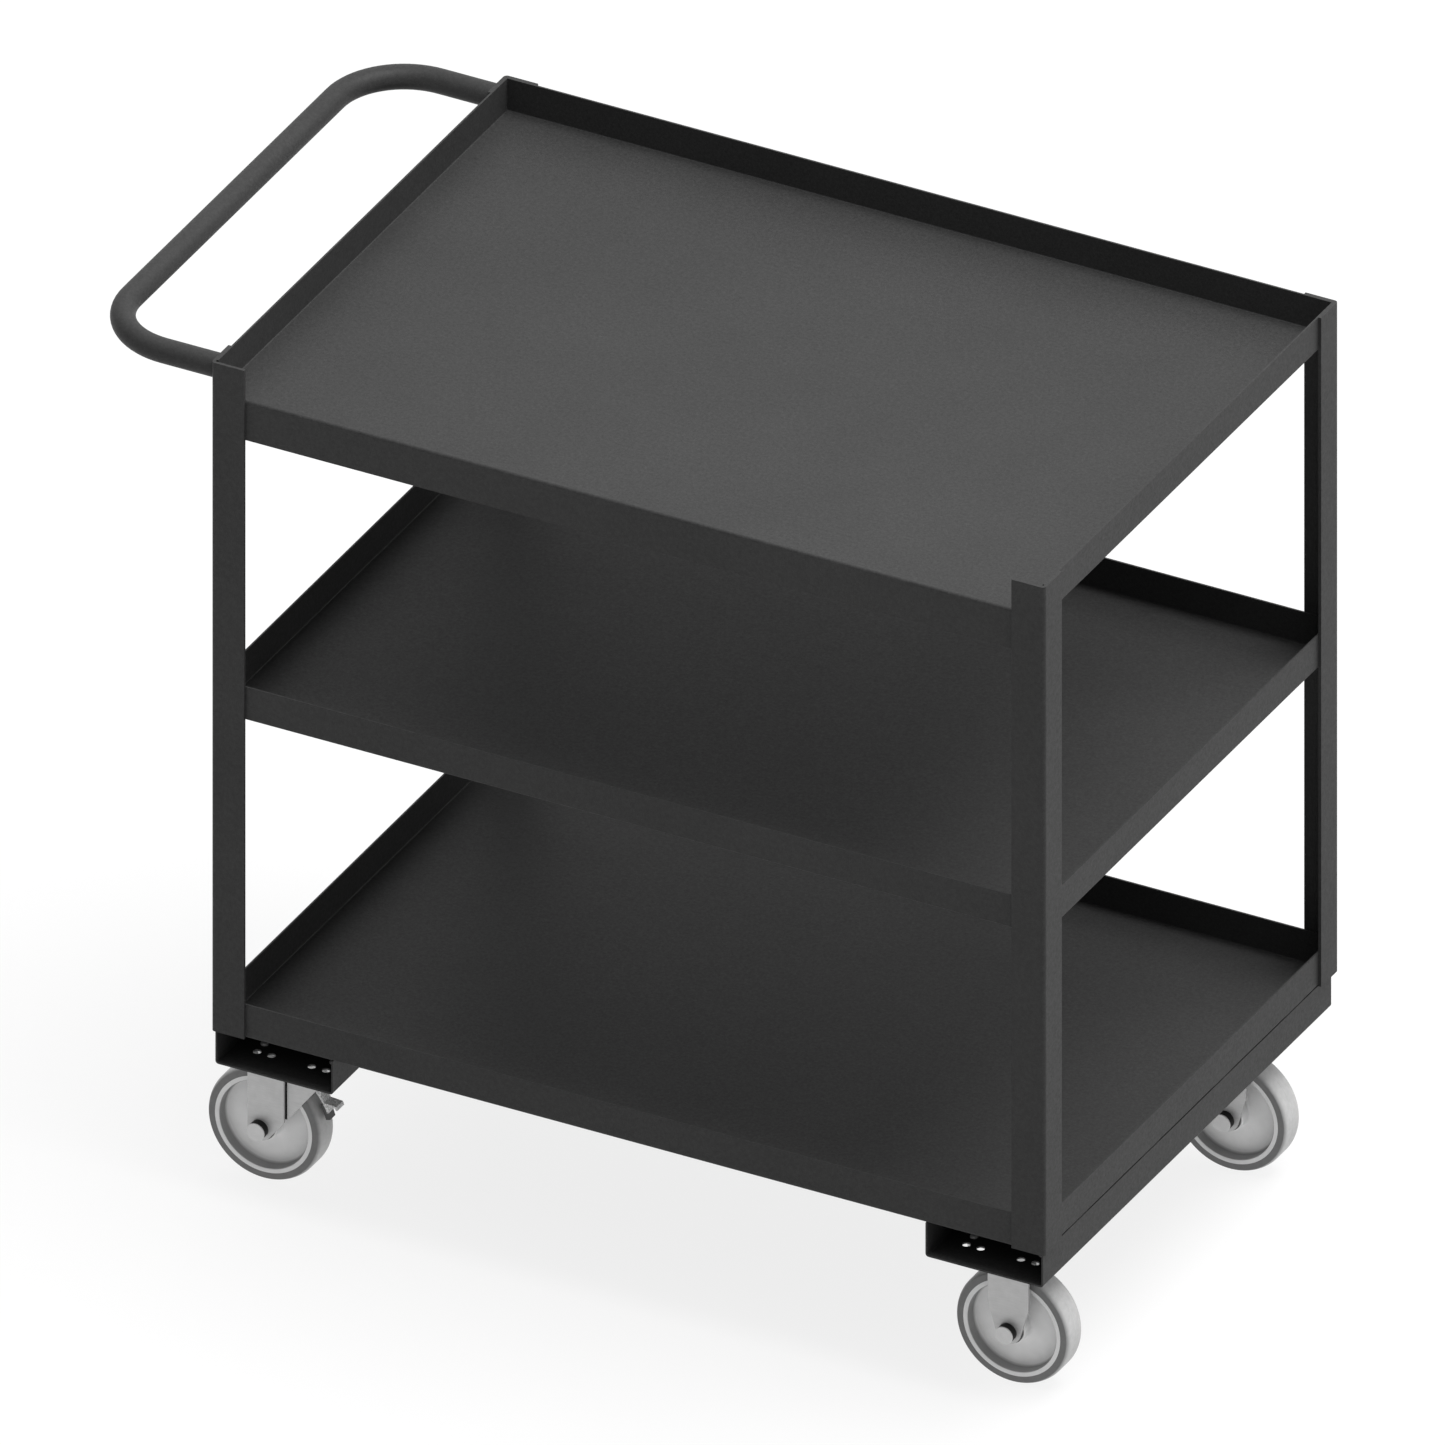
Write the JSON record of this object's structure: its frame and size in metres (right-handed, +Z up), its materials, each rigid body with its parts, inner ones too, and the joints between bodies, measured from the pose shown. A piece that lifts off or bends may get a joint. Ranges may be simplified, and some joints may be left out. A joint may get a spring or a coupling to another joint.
{
  "type": "rolling utility cart",
  "caption": "Rolling steel utility cart with lipped shelves on corner angle posts, tubular push handle, swivel casters with brakes at the handle end and rigid casters at the other.",
  "frame": {"origin": "on the floor, under the centre of the overall length and width", "axes": "+X towards the rigid-caster end, -X towards the push handle, -Y towards the open front edge of the top deck, +Z up"},
  "size_m": [1.071, 0.616, 0.9573],
  "materials": {
    "frame_paint": "textured powder coat",
    "zinc_pressing": "satin zinc plate",
    "zinc_hardware": "bright zinc plate",
    "ball_steel": "polished",
    "tread": "matte elastomer",
    "wheel_core": "moulded satin",
    "bush": "moulded nylon",
    "black_collar": "matte",
    "brake_steel": "satin zinc plate",
    "brake_pad": "matte"
  },
  "bodies": {
    "root": {"corner_post_front_left": "frame_paint", "corner_post_rear_left": "frame_paint", "caster_channel_left": "frame_paint", "corner_post_front_right": "frame_paint", "corner_post_rear_right": "frame_paint", "caster_channel_right": "frame_paint", "top_shelf": "frame_paint", "middle_shelf": "frame_paint", "bottom_shelf": "frame_paint", "push_handle": "frame_paint", "caster_mount_bolts": "zinc_hardware", "caster_plate_front_left": "zinc_pressing", "kingpin_front_left": "zinc_hardware", "caster_plate_rear_left": "zinc_pressing", "kingpin_rear_left": "zinc_hardware", "caster_plate_front_right": "zinc_pressing", "rigid_fork_front_right": "zinc_pressing", "axle_sleeve_front_right": "zinc_hardware", "axle_collar_front_right": "black_collar", "axle_bolt_front_right": "zinc_hardware", "axle_nut_front_right": "zinc_hardware", "caster_plate_rear_right": "zinc_pressing", "rigid_fork_rear_right": "zinc_pressing", "axle_sleeve_rear_right": "zinc_hardware", "axle_collar_rear_right": "black_collar", "axle_bolt_rear_right": "zinc_hardware", "axle_nut_rear_right": "zinc_hardware"},
    "wheel_front_left": {"tyre_front_left": "tread", "wheel_core_front_left": "wheel_core", "wheel_bushes_front_left": "bush"},
    "swivel_front_left": {"swivel_fork_front_left": "zinc_pressing", "brake_pin_front_left": "zinc_hardware", "axle_sleeve_front_left": "zinc_hardware", "axle_collar_front_left": "black_collar", "axle_bolt_front_left": "zinc_hardware", "axle_nut_front_left": "zinc_hardware"},
    "balls_front_left": {"swivel_balls_front_left": "ball_steel"},
    "brake_front_left": {"brake_lever_front_left": "brake_steel", "brake_pad_front_left": "brake_pad"},
    "wheel_rear_left": {"tyre_rear_left": "tread", "wheel_core_rear_left": "wheel_core", "wheel_bushes_rear_left": "bush"},
    "swivel_rear_left": {"swivel_fork_rear_left": "zinc_pressing", "brake_pin_rear_left": "zinc_hardware", "axle_sleeve_rear_left": "zinc_hardware", "axle_collar_rear_left": "black_collar", "axle_bolt_rear_left": "zinc_hardware", "axle_nut_rear_left": "zinc_hardware"},
    "balls_rear_left": {"swivel_balls_rear_left": "ball_steel"},
    "brake_rear_left": {"brake_lever_rear_left": "brake_steel", "brake_pad_rear_left": "brake_pad"},
    "wheel_front_right": {"tyre_front_right": "tread", "wheel_core_front_right": "wheel_core", "wheel_bushes_front_right": "bush"},
    "wheel_rear_right": {"tyre_rear_right": "tread", "wheel_core_rear_right": "wheel_core", "wheel_bushes_rear_right": "bush"}
  },
  "joints": [
    {"name": "swivel_turn_front_left", "type": "hinge", "parent": "root", "child": "swivel_front_left", "pos_m": [-0.3167, -0.231, 0.1507], "axis": [0, 0, 1], "continuous": true},
    {"name": "balls_roll_front_left", "type": "hinge", "parent": "root", "child": "balls_front_left", "pos_m": [-0.3167, -0.231, 0.1507], "axis": [0, 0, 1], "continuous": true},
    {"name": "wheel_spin_front_left", "type": "hinge", "parent": "swivel_front_left", "child": "wheel_front_left", "pos_m": [-0.3597, -0.231, 0.0625], "axis": [0, 1, 0], "continuous": true},
    {"name": "brake_press_front_left", "type": "hinge", "parent": "swivel_front_left", "child": "brake_front_left", "pos_m": [-0.3047, -0.231, 0.131], "axis": [0, 1, 0], "range_deg": [0, 3.4]},
    {"name": "swivel_turn_rear_left", "type": "hinge", "parent": "root", "child": "swivel_rear_left", "pos_m": [-0.3167, 0.22465, 0.1507], "axis": [0, 0, 1], "continuous": true},
    {"name": "balls_roll_rear_left", "type": "hinge", "parent": "root", "child": "balls_rear_left", "pos_m": [-0.3167, 0.22465, 0.1507], "axis": [0, 0, 1], "continuous": true},
    {"name": "wheel_spin_rear_left", "type": "hinge", "parent": "swivel_rear_left", "child": "wheel_rear_left", "pos_m": [-0.3597, 0.22465, 0.0625], "axis": [0, 1, 0], "continuous": true},
    {"name": "brake_press_rear_left", "type": "hinge", "parent": "swivel_rear_left", "child": "brake_rear_left", "pos_m": [-0.3047, 0.22465, 0.131], "axis": [0, 1, 0], "range_deg": [0, 3.4]},
    {"name": "wheel_spin_front_right", "type": "hinge", "parent": "root", "child": "wheel_front_right", "pos_m": [0.4669, -0.231, 0.0625], "axis": [0, 1, 0], "continuous": true},
    {"name": "wheel_spin_rear_right", "type": "hinge", "parent": "root", "child": "wheel_rear_right", "pos_m": [0.4669, 0.22465, 0.0625], "axis": [0, 1, 0], "continuous": true}
  ],
  "couplings": [
    {"joint": "balls_roll_front_left", "follows": "swivel_turn_front_left", "ratio": 0.5},
    {"joint": "balls_roll_rear_left", "follows": "swivel_turn_rear_left", "ratio": 0.5}
  ]
}
